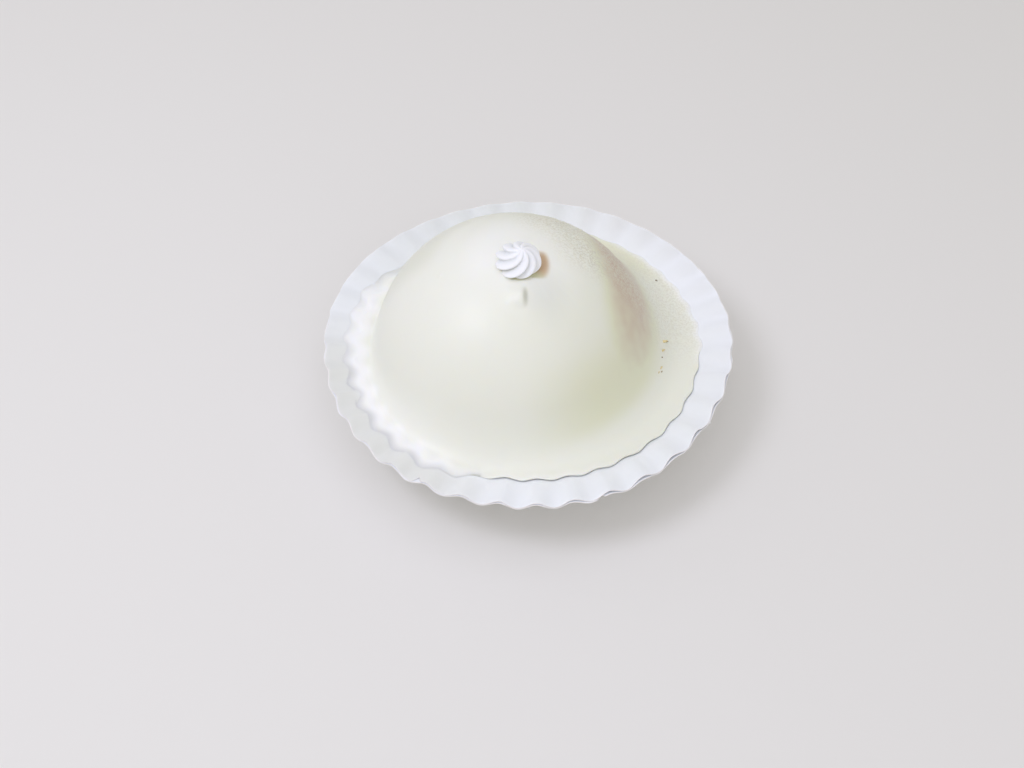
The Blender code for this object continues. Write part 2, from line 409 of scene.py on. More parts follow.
def cupLine():
    # the cup's profile from near its middle to its rim, as radius, height and step: flat floor, a corner
    # that is the parabola (1-t)^2 a + 2t(1-t) b + t^2 c, and the bell
    floorEdge = cup["baseRadius"] - cup["cornerReach"]
    floorRadius = floorEdge * np.array(cup["floorRings"])
    bend = np.linspace(0, 1, cup["cornerRows"])
    wallRadius, wallHeight = wallLine(cup["cornerStep"])
    cornerRadius = (1 - bend) ** 2 * floorEdge + 2 * bend * (1 - bend) * cup["baseRadius"]
    cornerRadius = cornerRadius + bend ** 2 * wallRadius
    cornerHeight = (1 - bend ** 2) * cup["floor"] + bend ** 2 * wallHeight
    upTheWall = np.linspace(0, 1, cup["wallRows"])[1:] ** cup["rowCurve"]
    steps = cup["cornerStep"] + (1 - cup["cornerStep"]) * upTheWall
    bellRadius, bellHeight = wallLine(steps)
    radius = np.concatenate([floorRadius, cornerRadius, bellRadius])
    height = np.concatenate([np.full(len(floorRadius), cup["floor"]), cornerHeight, bellHeight])
    step = np.concatenate([np.zeros(len(floorRadius)), cup["cornerStep"] * bend ** 2, steps])
    return radius[:, None], height[:, None], step[:, None]


# a nick is its direction, width and depth; shallow is an arc and the share of its flutes' depth that is lost
innerCase = dict(
    sheet=0.26, baseAway=0.0, rimAway=0.0, rimAwayBy=0.8, fluteShare=1.0, shallow=None,
    seed=3, nick=(-121.1, 0.7, 0.035), glazed=1,
)
outerCase = dict(
    sheet=0.26, baseAway=0.68, rimAway=0.31, rimAwayBy=0.8, fluteShare=0.85, shallow=(-30.0, 30.0, 35.0, 0.3),
    seed=8, nick=(-71.3, 0.8, 0.02), glazed=0,
)


def unevenCut(sheet, turn, step):
    # the rim is cut a little unevenly, with one nick: step * (1 + cut * step^power)
    nickTurn, nickWidth, nickDepth = sheet["nick"]
    ring = cup["cutRing"]
    ringPlace = np.stack([ring * np.cos(turn), ring * np.sin(turn), np.zeros_like(turn)], axis=-1)
    rimCut = cup["cutWander"] * lumps(ringPlace, cup["cutLength"], sheet["seed"])
    rimCut = rimCut - nickDepth * facing(turn, nickTurn, nickWidth * cup["nickFlat"], nickWidth)
    return step * (1 + rimCut * step ** cup["cutCurve"])


def offTheBell(sheet, turn, even, step):
    # how far a sheet stands off the bell: its own distance, its flutes (shallower on an arc), and crimps
    fluteShare = sheet["fluteShare"]
    if sheet["shallow"]:
        middle, half, soft, less = sheet["shallow"]
        fluteShare = fluteShare - less * facing(turn, middle, half, soft)
    away = sheet["baseAway"] + (sheet["rimAway"] - sheet["baseAway"]) * fade(0.0, sheet["rimAwayBy"], step)
    folds, depth = flute(step, even)
    away = away + fluteShare * folds + (1 - fluteShare) * depth
    crimpsRound = turn * cup["crimpRing"] / cup["crimpWidth"]
    crimpPlace = np.stack(np.broadcast_arrays(crimpsRound, step * cup["crimpsUp"], 0.0), axis=-1)
    crimps = cup["crimpHeight"] * lumps(crimpPlace, 1.0, sheet["seed"])
    return away + crimps * fade(*cup["crimpFrom"], step)


def roundedRim(face, normal, thickness):
    # half a turn over the face's last row: half the thickness * (1 - cos) out, and * sin up
    upward = face[-1] - face[-2]
    upward = upward / np.linalg.norm(upward, axis=-1, keepdims=True)
    bend = np.radians([30, 60, 90, 120, 150])[:, None, None]
    half = thickness / 2
    return face[-1] + half * (1 - np.cos(bend)) * normal[-1] + half * np.sin(bend) * upward


def paperCase(name, sheet, finish):
    # one sheet: the profile is pushed out, square to itself, by how far the sheet stands off the bell,
    # doubled along its normals to the paper's thickness, and rounded over at the rim
    columns = cup["flutes"] * cup["columnsPerFlute"]
    even = evenTurns(columns)
    turn = roundTheCup(even)
    radius, height, step = cupLine()
    step = unevenCut(sheet, turn, step)
    onWall = step > cup["cornerStep"]
    wallRadius, wallHeight = wallLine(step)
    radius = np.where(onWall, wallRadius, radius)
    height = np.where(onWall, wallHeight, height)
    away = offTheBell(sheet, turn, even, step)
    run = np.gradient(radius, axis=0)
    rise = np.gradient(height, axis=0)
    length = np.hypot(run, rise)
    face = cupPlace(step, even, radius + away * rise / length, height - away * run / length)
    normal = outward(face)
    back = face + sheet["sheet"] * normal
    rim = roundedRim(face, normal, sheet["sheet"])
    grid = np.concatenate([face, rim, back[::-1]])

    rows = len(face)
    rowNumber = np.arange(len(grid))[:, None]
    cutEdge = ((rowNumber >= rows) & (rowNumber < rows + len(rim))) * np.ones((1, columns))
    # the film tone is partly a film of glaze and partly painted shade, greyer towards the rim
    filmFrom, filmFull = cup["film"]
    highOnWall = fade(stepAt(filmFrom), stepAt(filmFull), step)
    film = np.zeros(grid.shape[:2])
    film[:rows] = highOnWall * facing(turn, *cup["filmArc"]) * sheet["glazed"]
    middleX, middleY = cup["baseShift"]
    poles = [(middleX, middleY, face[0, 0, 2]), (middleX, middleY, back[0, 0, 2])]
    fields = {"cutEdge": withPoles(cutEdge), "film": withPoles(film)}
    piece = closedSkin(name, [(grid, *poles)], finish, fields)
    return piece, face[-1], normal[-1]


paper = coatedPaper()
innerPiece = paperCase("inner_paper_case", innerCase, paper)[0]
outerPiece, outerRim, outerRimOut = paperCase("outer_paper_case", outerCase, paper)


# burrs of torn paper on the rim

rimBurrs = dict(width=0.14, taper=0.94, sunk=0.05, rise=0.35, droop=1.6, rows=9, columns=6, slivers=(
    # direction, length, lean sideways, lean outwards
    (-90.6, 0.9, 0.5, 0.9),
    (-70.6, 0.7, -0.6, 0.8),
    (-71.6, 0.9, 0.3, 0.9),
    (-72.4, 0.6, 0.7, 0.7),
    (-31.3, 0.8, 0.2, 1.0),
    (-30.6, 0.6, -0.6, 0.8),
    (-120.2, 0.6, 0.5, 0.7),
    (-121.9, 0.7, -0.5, 0.8),
))


def burrSkin(direction, length, sideways, outwards):
    # a thread, width * sqrt(1 - taper * t) thick, whose path leaves the rim upwards and droops by t^droop
    turn = np.arctan2(outerRim[:, 1], outerRim[:, 0])
    at = np.argmin(np.abs((turn - math.radians(direction) + math.pi) % (2 * math.pi) - math.pi))
    root, out = outerRim[at], outerRimOut[at]
    side = np.roll(outerRim, -1, axis=0)[at] - root
    side = side / np.linalg.norm(side)
    lift = np.cross(out, side)
    lift = lift * np.sign(lift[2])
    t = np.linspace(0, 1, rimBurrs["rows"])[:, None]
    leaning = t ** rimBurrs["droop"] * (outwards * out + sideways * side)
    path = root - rimBurrs["sunk"] * lift + length * (t * lift * rimBurrs["rise"] + leaning)
    around = evenTurns(rimBurrs["columns"])[:, :, None]
    width = rimBurrs["width"] / 2 * np.sqrt(1 - rimBurrs["taper"] * t)[:, :, None]
    return path[:, None] + width * (np.cos(around) * side + np.sin(around) * lift), path[0], path[-1]


burrs = [burrSkin(*sliver) for sliver in rimBurrs["slivers"]]
burrPiece = closedSkin("rim_burrs", burrs, paper)


# the glazed dome and the pool of glaze that it stands in

dome = dict(
    ballRadius=41.5, ballCentre=(-4.1, 4.1, 11.4), poolLevel=15.0,
    # the ball ends at this slope, which swings round the cake, and a hollow foot runs out from there
    meanSlope=68.3, slopeSwing=((1, 5.8, -170.0), (2, 4.4, -21.0), (4, 1.7, 0.0)), footEnd=0.16,
    edgeInset=0.55, edgeDrop=0.6, flatRim=1.0,
    # at the front right the glaze has shrunk from the paper, with a round edge; elsewhere it climbs a bit
    shrunk=(-55.0, 43.0, 14.0), openGap=0.27, closedGap=-0.06, edgeRound=0.5, climb=0.12, climbReach=0.7,
    columns=520, denseAt=30.0, denseShare=0.5, footRows=46, ballRows=118,
    edgeSteps=(0.0, 0.06, 0.14, 0.24, 0.36, 0.5, 0.68, 0.9, 1.2, 1.6),
    sideRings=((1.5, 1.2), (8.0, 0.8), (13.0, 0.5)),    # height and gap to the wall
    sideShares=(0.15, 0.3, 0.45, 0.6, 0.75, 0.9),
)
wallFilm = dict(
    # at the left the glaze creeps up the wall as a film: a coat on the flutes, filled by the pool further in
    arc=(-163.0, 38.0, 26.0), climb=2.9, reach=4.3, coat=0.04, rounding=0.5, fillsBy=4.0, fullBy=0.15,
    footWider=2.5, climbEnds=0.6, underFilm=0.1, levels=(-1.0, 5.0, 19),
    # it whitens there, and a little wherever it thins out over the paper, which on the left is also a painted
    # highlight; painted shade makes its outermost part greyer
    plateau=3.4, paleEdge=1.6, paleWider=1.2, paleElsewhere=0.65,
    paleFront=0.35, frontArc=(-92.0, 12.0, 25.0),
    greyArc=(-145.0, 18.0, 28.0), greyEnds=(0.5, 4.0),
)


def fromBallAxis(ring):
    # direction and distance from the ball's upright axis
    away = ring[..., :2] - np.array(dome["ballCentre"][:2])
    return np.arctan2(away[..., 1], away[..., 0]), np.linalg.norm(away, axis=-1)


def ringAt(azimuth, ring):
    # a ring's distance from the ball's axis, read off at the given azimuths
    ringAzimuth, ringDistance = fromBallAxis(ring)
    return np.interp(azimuth.ravel(), ringAzimuth.ravel(), ringDistance.ravel(), period=2 * math.pi)[None, :]


def crestGap(height):
    # how far inside the wall's middle line the coated crests of its flutes stand
    return wallFilm["coat"] + flute(stepAt(height), 0.0)[1]


def wallOver(azimuth, distance, filled):
    # height of the coated wall at a distance from the ball's axis, as fluted or filled up to its crests:
    # rings of the wall at rising heights, and straight pieces between them
    ring = evenTurns(dome["columns"] * 2)
    lowest, highest, count = wallFilm["levels"]
    levels = np.linspace(dome["poolLevel"] + lowest, dome["poolLevel"] + highest, count)
    radii = []
    for level in levels:
        gap = crestGap(level) if filled else wallFilm["coat"]
        radii.append(ringAt(azimuth, insideWall(level, ring, gap, 0.0 if filled else 1.0)))
    height = np.full(distance.shape, levels[0])
    for low in range(len(levels) - 1):
        share = np.clip((distance - radii[low]) / (radii[low + 1] - radii[low]), 0, 1)
        height = height + (levels[low + 1] - levels[low]) * share
    return height


def domeFoot(azimuth, cakeEdge, flatRim):
    # where the hollow foot starts on the ball, its drop to the pool, its reach, and its power: height over
    # the pool = drop * (1 - share of the way)^power, which meets the ball without a crease
    slope = np.radians(dome["meanSlope"] + waves(azimuth, dome["slopeSwing"]))
    start = dome["ballRadius"] * np.sin(slope)
    drop = dome["ballCentre"][2] + dome["ballRadius"] * np.cos(slope) - dome["poolLevel"]
    reach = cakeEdge - flatRim - start
    return slope, start, drop, reach, np.tan(slope) * reach / drop


def footHeight(left, drop, power):
    # domeFoot's curve, made to run into the pool without an edge: the share of the way that is left becomes
    # (left + sqrt(left^2 + end^2)) / (1 + steeper), and the power makes up for the change of slope
    steeper = math.hypot(1, dome["footEnd"])
    softLeft = (left + np.hypot(left, dome["footEnd"])) / (1 + steeper)
    return drop * softLeft ** (power * steeper)


def filmHeight(azimuth, distance, fromWall, height):
    # the film follows the flutes at the wall; further in it is a smooth maximum of the filled wall and the
    # pool's own height: (a + b + sqrt((a - b)^2 + rounding^2)) / 2
    fluted = wallOver(azimuth, distance, False)
    filled = wallOver(azimuth, distance, True)
    smooth = (filled + height + np.hypot(height - filled, wallFilm["rounding"])) / 2
    return fluted + (smooth - fluted) * fade(0, wallFilm["fillsBy"], fromWall)


def sideRings(even, gap, contact, overFlutes):
    # rings up the hidden side of the glaze; their gap to the wall shrinks to the edge's own, and under the
    # film they run inside the paper, so that they can't show between the flutes
    sides = [insideWall(height, even, sideGap) for height, sideGap in dome["sideRings"]]
    lastHeight, lastGap = dome["sideRings"][-1]
    for share in dome["sideShares"]:
        sideGap = lastGap * (1 - share) + gap * share
        sideGap = sideGap * (1 - overFlutes) - wallFilm["underFilm"] * overFlutes
        sides.append(insideWall(lastHeight + (contact - lastHeight) * share, even, sideGap))
    return np.concatenate(sides)


def thinsOut(turn, fromWall, film, overFlutes, shrunk):
    # how far the glaze whitens over the paper, which on the left is also a painted highlight: fully up to the
    # plateau's end, and from there by exp(-(distance / width)^2); and where painted shade makes its outermost
    # film greyer
    width = wallFilm["paleEdge"] * (1 + wallFilm["paleWider"] * film)
    paleShare = np.exp(-(np.maximum(fromWall - wallFilm["plateau"] * overFlutes, 0) / width) ** 2)
    front = wallFilm["paleFront"] * facing(turn, *wallFilm["frontArc"])
    overPaper = paleShare * np.maximum(wallFilm["paleElsewhere"] * (1 - shrunk), np.maximum(film, front))
    grey = overFlutes * facing(turn, *wallFilm["greyArc"]) * (1 - fade(*wallFilm["greyEnds"], fromWall))
    return overPaper, grey


def aboveBall(azimuth, distance, height):
    # points at a direction and distance from the ball's axis, and a height
    x = dome["ballCentre"][0] + distance * np.cos(azimuth)
    y = dome["ballCentre"][1] + distance * np.sin(azimuth)
    return np.stack(np.broadcast_arrays(x, y, height), axis=-1)


def domeGrid():
    # columns run from the wall of the case over the pool and the foot to the top of the ball; they stand
    # closer together where the glaze is grainy
    even = evenTurns(dome["columns"])
    even = even - dome["denseShare"] * np.sin(even - math.radians(dome["denseAt"]))
    turn = roundTheCup(even)
    shrunk = facing(turn, *dome["shrunk"])
    film = facing(turn, *wallFilm["arc"])
    overFlutes = film * (1 - shrunk)
    gap = dome["closedGap"] + (dome["openGap"] - dome["closedGap"]) * shrunk
    gap = gap + (wallFilm["coat"] - gap) * overFlutes
    climb = dome["climb"] * (1 - shrunk) * (1 - film)
    filmClimb = wallFilm["climb"] * overFlutes
    contact = dome["poolLevel"] + climb + filmClimb - dome["edgeRound"] * shrunk
    azimuth, edgeDistance = fromBallAxis(insideWall(contact, even, gap))
    cakeEdge = insideWall(dome["poolLevel"] - dome["edgeDrop"], even, dome["edgeInset"], 0.0)
    flatRim = dome["flatRim"] - wallFilm["footWider"] * overFlutes
    slope, start, drop, reach, power = domeFoot(azimuth, fromBallAxis(cakeEdge)[1], flatRim)

    inwards = np.array(dome["edgeSteps"])[:, None]
    share = np.linspace(1, 0, dome["footRows"] + 1)[1:, None]
    lastInwards = edgeDistance - dome["edgeSteps"][-1] - start
    distance = np.concatenate([edgeDistance - inwards, start + lastInwards * share])
    fromWall = edgeDistance - distance
    downFoot = (distance - start) / reach
    height = dome["poolLevel"] + footHeight(1 - downFoot, drop, power)

    evenEdge = ringAt(azimuth, insideWall(contact, even, crestGap(contact), 0.0))
    climbing = climb * np.exp(-fromWall / dome["climbReach"])
    climbing = climbing + filmClimb * np.exp(-np.maximum(evenEdge - distance, 0) / wallFilm["reach"])
    climbing = climbing * fade(0, wallFilm["climbEnds"], downFoot)
    roundShare = np.clip(1 - fromWall / dome["edgeRound"], 0, 1)
    rounding = dome["edgeRound"] * shrunk * (1 - np.sqrt(1 - roundShare ** 2))
    height = height + climbing - rounding
    asFilm = filmHeight(azimuth, distance, fromWall, height)
    height = height + (asFilm - height) * fade(0, wallFilm["fullBy"], overFlutes)
    low = aboveBall(azimuth, distance, height)

    share = np.linspace(1, 0, dome["ballRows"] + 1)[1:-1, None]
    ballDistance = dome["ballRadius"] * np.sin(slope * share)
    ballHeight = dome["ballCentre"][2] + dome["ballRadius"] * np.cos(slope * share)
    top = np.concatenate([low, aboveBall(azimuth, ballDistance, ballHeight)])
    overPaper, grey = thinsOut(turn, fromWall, film, overFlutes, shrunk)
    return azimuth, overPaper, grey, sideRings(even, gap, contact, overFlutes), top


bumps = dict(
    # size, height, seed
    swells=((16.0, 0.10, 21), (6.0, 0.03, 22)), grains=((1.6, 0.12, 16), (0.9, 0.08, 9)),
    streak=0.015, streakTurns=16, streakLength=9.0, streakSeed=23, streakFrom=(5, 15),
    grainArc=(40, 28, 30), grainFrom=(8, 24), grainLow=0.55, grainLess=(36, 46),
    drip=dict(x=-1.9, left=3.2, flat=0.1, right=1.8, height=1.1, top=-6.8, full=-10.0, thin=-10.8, end=-14.2),
    dots=((-24.4, 0.7, 0.55, 0.3), (-50.6, -3.2, 0.7, 0.3)),    # x, y, size, height
)


def between(value, spot):
    # 1 between full and thin, fading out to top and end; these run towards the front, so they fall
    return fade(-spot["top"], -spot["full"], -value) * (1 - fade(-spot["thin"], -spot["end"], -value))


def surfaceRelief(points, azimuth, plan):
    # height of the glaze over its smooth form: soft unevenness, flow streaks down the dome, the crumb's
    # grain on the back right, the drip in front of the rosette, and two small blisters
    x, y, z = np.moveaxis(points, -1, 0)
    relief = sum(heightOf * lumps(points, size, seed) for size, heightOf, seed in bumps["swells"])
    down = z / bumps["streakLength"]
    flow = np.stack([azimuth * bumps["streakTurns"] + 0 * z, down, 0 * z], axis=-1)
    streaks = bumps["streak"] * lumps(flow, 1.0, bumps["streakSeed"])
    relief = relief + streaks * fade(*bumps["streakFrom"], plan)
    grainy = facing(azimuth, *bumps["grainArc"]) * fade(*bumps["grainFrom"], plan)
    grainy = grainy * (1 - (1 - bumps["grainLow"]) * fade(*bumps["grainLess"], plan))
    for size, heightOf, seed in bumps["grains"]:
        relief = relief + heightOf * grainy * lumps(points, size, seed)
    drip = bumps["drip"]
    side = x - drip["x"]
    rightSide = 1 - fade(drip["flat"], drip["right"], side)
    crest = np.where(side < 0, np.exp(-(side / drip["left"]) ** 2), rightSide)
    relief = relief + drip["height"] * crest * between(y, drip)
    for dotX, dotY, dotSize, dotHeight in bumps["dots"]:
        relief = relief + dotHeight * np.exp(-((x - dotX) ** 2 + (y - dotY) ** 2) / dotSize ** 2)
    return relief, grainy


# the rosette's syrup stain together with its painted shadow, painted shade in the hollow beside the drip, and
# an oval of painted shadow to the right of the drip
soakAndShadow = dict(
    centre=(-3.0, 0.4), foot=5.3, reach=1.0, rightReach=3.4, right=(0.0, 28.0, 30.0), arc=(-38.0, 58.0, 25.0),
    edge=(0.55, 1.0), oliveStainShadowArc=(-75.0, 33.0, 28.0),
    hollowX=-0.8, hollowWidth=0.85, hollow=0.25, hollowOliveStainShadow=(0.02, 0.1), hollowShade=0.5,
    shade=0.28, shadeAt=(4.2, -8.8), shadeSize=(9.5, 11.0), shadeEdge=(0.1, 1.0), shadeFromX=(-2.5, 0.5),
)


def stainedAndShaded(points):
    # the syrup stain with the rosette's painted shadow is 1 at the rosette's foot and 0 past its reach, which
    # is longest on the right; as painted shade it also lies in the hollow beside the drip. The olive share is
    # 1 in front and in the hollow, where it is painted shadow as well as stain. Painted shade is an oval to
    # the right of the drip, where the rosette's shadow falls, and the hollow
    away = points[..., :2] - np.array(soakAndShadow["centre"])
    turn = np.arctan2(away[..., 1], away[..., 0])
    reach = soakAndShadow["reach"] + soakAndShadow["rightReach"] * facing(turn, *soakAndShadow["right"])
    past = (np.linalg.norm(away, axis=-1) - soakAndShadow["foot"]) / reach
    stainAndShadow = (1 - fade(*soakAndShadow["edge"], past)) * facing(turn, *soakAndShadow["arc"])
    hollow = np.exp(-((points[..., 0] - soakAndShadow["hollowX"]) / soakAndShadow["hollowWidth"]) ** 2)
    hollow = hollow * between(points[..., 1], bumps["drip"])
    oliveStainShadow = np.maximum(facing(turn, *soakAndShadow["oliveStainShadowArc"]), fade(*soakAndShadow["hollowOliveStainShadow"], hollow))
    shadeX = (points[..., 0] - soakAndShadow["shadeAt"][0]) / soakAndShadow["shadeSize"][0]
    shadeY = (points[..., 1] - soakAndShadow["shadeAt"][1]) / soakAndShadow["shadeSize"][1]
    paintedShade = soakAndShadow["shade"] * (1 - fade(*soakAndShadow["shadeEdge"], np.hypot(shadeX, shadeY)))
    paintedShade = paintedShade * fade(*soakAndShadow["shadeFromX"], points[..., 0])
    stainAndShadow = np.maximum(stainAndShadow, soakAndShadow["hollow"] * hollow)
    return stainAndShadow, oliveStainShadow, np.maximum(paintedShade, soakAndShadow["hollowShade"] * hollow)


tones = dict(
    # where the crumb shows, and the same tones paint shade on the flank turned from the light: directions,
    # how far to the right, and distance from the ball's axis, which drifts outwards towards the back
    crumbFront=(-68, 8), crumbBack=(75, 110), crumbAside=(18.5, 27), asideBack=0.2,
    crumbRim=(36.5, 44.5), rimDrift=7, driftTurn=(15, 65), crumbMottle=(2.4, 0.13, 31),    # size, share, seed
    # patches: share, arc, and distances from the ball's axis where they start and end; the front foot and
    # back pool patches tint the glaze straw partly as painted shade, and the back rim is painted shade on the
    # dome's back, greyer and not whitened
    frontFoot=dict(share=0.3, arc=(-40, 10, 40), inner=(28, 38), outer=(41, 45)),
    backPool=dict(share=0.33, arc=(58, 14, 22), inner=(40, 43), outer=(51, 55)),
    backRim=dict(share=1.0, arc=(120, 42, 20), inner=(20, 28), outer=(38, 41)), backPaintedShade=0.12,
    # painted light: the glaze is whiter on its lit left side, and with the summit share on its top
    paintedLitSide=0.4, paintedLitSideArc=(190, 30, 90), paintedLitSideMottle=(18.0, 0.25, 33),
    summit=0.4, summitMore=0.18, summitArc=(145, 55, 40), summitEnds=(8, 26),
)


def mottle(points, size, share, seed):
    # a factor from 1 down to 1 - 2 * share, in lumps
    return 1 - share + share * lumps(points, size, seed)


def patch(azimuth, plan, spot):
    # share * on its arc * past its inner edge * short of its outer edge
    ringed = fade(*spot["inner"], plan) * (1 - fade(*spot["outer"], plan))
    return spot["share"] * facing(azimuth, *spot["arc"]) * ringed


def crumbAndShadeShow(points, azimuth, plan):
    # 1 where the glaze is thinnest and where its flank takes painted shade: the product of the fades at its
    # four sides, mottled a little
    turnDeg = np.degrees(azimuth)
    aside = points[..., 0] + tones["asideBack"] * np.maximum(points[..., 1], 0)
    outer = plan - tones["rimDrift"] * fade(*tones["driftTurn"], turnDeg)
    shows = fade(*tones["crumbFront"], turnDeg) * (1 - fade(*tones["crumbBack"], turnDeg))
    shows = shows * fade(*tones["crumbAside"], aside) * (1 - fade(*tones["crumbRim"], outer))
    return shows * mottle(points, *tones["crumbMottle"])


def glazedDome(finish):
    # the dome's grid, pushed out along its normals by its relief, which grows over the first rows off the
    # wall, and the fields that its colours read
    azimuth, overPaper, grey, sides, top = domeGrid()
    normal = -outward(top)
    normal = normal * np.sign(np.sum(normal[-1, :, 2]))
    plan = np.hypot(top[..., 0] - dome["ballCentre"][0], top[..., 1] - dome["ballCentre"][1])
    relief, grainy = surfaceRelief(top, azimuth, plan)
    awayFromWall = np.arange(len(top))[:, None] / len(dome["edgeSteps"])
    top = top + (relief * fade(0, 1, awayFromWall))[..., None] * normal

    upTheBall = ((0, len(top) - len(overPaper)), (0, 0))    # the ball's rows lie past what domeGrid gives
    overPaper, grey = np.pad(overPaper, upTheBall), np.pad(grey, upTheBall)
    # thin: crumb showing through thin glaze, and painted shade on the flank turned from the light
    thin = np.maximum(patch(azimuth, plan, tones["frontFoot"]), patch(azimuth, plan, tones["backPool"]))
    thin = np.maximum(thin, crumbAndShadeShow(top, azimuth, plan))
    # painted light: whiter on the lit left side and on the top; the back rim loses it and takes painted shade
    paintedLitSide = tones["paintedLitSide"] * facing(azimuth, *tones["paintedLitSideArc"]) * mottle(top, *tones["paintedLitSideMottle"])
    summit = tones["summit"] + tones["summitMore"] * facing(azimuth, *tones["summitArc"])
    summit = summit * (1 - fade(*tones["summitEnds"], plan))
    backRim = patch(azimuth, plan, tones["backRim"])
    pale = np.maximum(np.maximum(paintedLitSide, summit) * (1 - backRim), overPaper)
    # the rosette's syrup stain and painted shadow, the olive share, and painted shade beside the drip and at
    # the back
    stainAndShadow, oliveStainShadow, paintedShade = stainedAndShaded(top)
    paintedShade = np.maximum(paintedShade, tones["backPaintedShade"] * backRim)

    grid = np.concatenate([sides, top])
    fields = {}
    for fieldName, values in (("thin", thin), ("grainy", grainy * (1 - overPaper)), ("pale", pale),
                              ("stainAndShadow", stainAndShadow), ("oliveStainShadow", oliveStainShadow), ("paintedShade", paintedShade), ("film", grey)):
        below = np.zeros((len(sides), grid.shape[1]))
        fields[fieldName] = withPoles(np.concatenate([below, np.clip(values, 0, 1)]))
    middle = dome["ballCentre"]
    floorHeight = dome["sideRings"][0][0]
    poles = [(middle[0], middle[1], floorHeight), (middle[0], middle[1], middle[2] + dome["ballRadius"])]
    return closedSkin("lemon_glazed_dome", [(grid, *poles)], finish, fields), top


glaze = lemonGlaze()
domePiece, glazeTop = glazedDome(glaze)


# the rosette

rosette = dict(
    centre=(-3.0, 0.4), radius=5.5, height=5.35, sunk=0.05, lean=(1.4, -0.5), ridges=8, twist=95.0,
    ridgeHeight=0.96, sharpness=0.5, uneven=((1, 0.12, 40), (3, 0.12, 100)), fuller=((1, 0.05, -130),),
    foot=0.16, widest=0.28, shoulder=1.6, flank=1.4, grooveCurve=1.5, grooveEnds=(0.75, 1.0),
    columns=256, rows=84, rowCurve=1.25, peakStep=0.9985,
)


def ballTop(x, y):
    # height of the ball over x, y: its centre + sqrt(radius^2 - distance^2)
    middle = dome["ballCentre"]
    return middle[2] + np.sqrt(dome["ballRadius"] ** 2 - (x - middle[0]) ** 2 - (y - middle[1]) ** 2)


def swirlWidth(rise):
    # widest near a third of the way up, a bit narrower at the foot, (1 - t^shoulder)^(1/flank) to the peak
    low = 1 - rosette["foot"] * np.clip((rosette["widest"] - rise) / rosette["widest"], 0, 1) ** 2
    t = np.clip((rise - rosette["widest"]) / (1 - rosette["widest"]), 0, 1)
    return low * (1 - t ** rosette["shoulder"]) ** (1 / rosette["flank"])


def pipedRosette(finish):
    # radius = (middle + ridge height * lobes) * width at that rise, turned by the twist as it rises; a lobe
    # is half |cos| and half cos^2
    azimuth = evenTurns(rosette["columns"])
    rowSteps = np.linspace(0, rosette["peakStep"], rosette["rows"])[:, None]
    rise = 1 - (1 - rowSteps) ** rosette["rowCurve"]
    turned = azimuth + math.radians(rosette["twist"]) * rise
    ridge = np.abs(np.cos(rosette["ridges"] / 2 * azimuth))
    ridge = rosette["sharpness"] * ridge + (1 - rosette["sharpness"]) * ridge ** 2
    lobe = (ridge * 2 - 1) * (1 + waves(azimuth, rosette["uneven"]))
    spread = (rosette["radius"] + rosette["ridgeHeight"] * lobe) * swirlWidth(rise)
    spread = spread * (1 + waves(turned, rosette["fuller"]))
    x = rosette["centre"][0] + rosette["lean"][0] * rise + spread * np.cos(turned)
    y = rosette["centre"][1] + rosette["lean"][1] * rise + spread * np.sin(turned)
    z = ballTop(x, y) - rosette["sunk"] + rosette["height"] * rise
    grid = np.stack([x, y, z], axis=-1)
    # groove: painted shade, greyest down in the grooves and gone towards the peak
    groove = (1 - ridge) ** rosette["grooveCurve"] * (1 - fade(*rosette["grooveEnds"], rise))
    skin = (grid, grid[0].mean(axis=0), grid[-1].mean(axis=0))
    return closedSkin("piped_rosette", [skin], finish, {"groove": withPoles(groove)})


cream = whippedCream()
rosettePiece = pipedRosette(cream)


# scraps of zest on the glaze

zest = dict(rows=7, columns=10, lift=0.06, ragged=0.25, corners=3, flatness=3, scraps=(
    # x, y, length, width, turn, how dark
    (40.2, 2.5, 2.1, 0.9, 8, 0.1),
    (41.0, 2.9, 1.2, 0.4, 12, 0.7),
    (39.6, -1.2, 1.4, 0.7, 35, 0.2),
    (39.9, -0.9, 0.7, 0.3, 30, 0.7),
    (39.1, -3.9, 0.55, 0.45, 0, 0.85),
    (38.6, -7.7, 1.7, 0.45, 62, 0.15),
    (37.7, -9.7, 1.3, 0.4, 60, 0.25),
    (38.7, -8.9, 0.8, 0.35, 55, 0.7),
    (40.0, 30.0, 0.9, 0.5, -35, 0.9),
))


def onGlaze(x, y):
    # the glaze's height at its nearest point to x, y
    away = np.hypot(glazeTop[..., 0] - x, glazeTop[..., 1] - y)
    return glazeTop[..., 2].ravel()[np.argmin(away)]


def scrapSkin(x, y, length, width, turnDeg, seed):
    # a flat pebble: half length and width by the cosine of the lift, thickness by its sine, and an outline
    # that is ragged by sin(corners * turn)
    lift = np.radians(np.linspace(-80, 80, zest["rows"]))[:, None]
    around = evenTurns(zest["columns"])
    ragged = 1 + zest["ragged"] * np.sin(zest["corners"] * around + seed) * np.cos(lift)
    along = length / 2 * np.cos(lift) * np.cos(around) * ragged
    across = width / 2 * np.cos(lift) * np.sin(around) * ragged
    turn = math.radians(turnDeg)
    skinX = x + along * math.cos(turn) - across * math.sin(turn)
    skinY = y + along * math.sin(turn) + across * math.cos(turn)
    thickness = width / zest["flatness"]
    skinZ = onGlaze(x, y) + zest["lift"] + thickness * np.sin(lift) + 0 * around
    skin = np.stack([skinX, skinY, skinZ], axis=-1)
    return skin, skin[0].mean(axis=0), skin[-1].mean(axis=0)


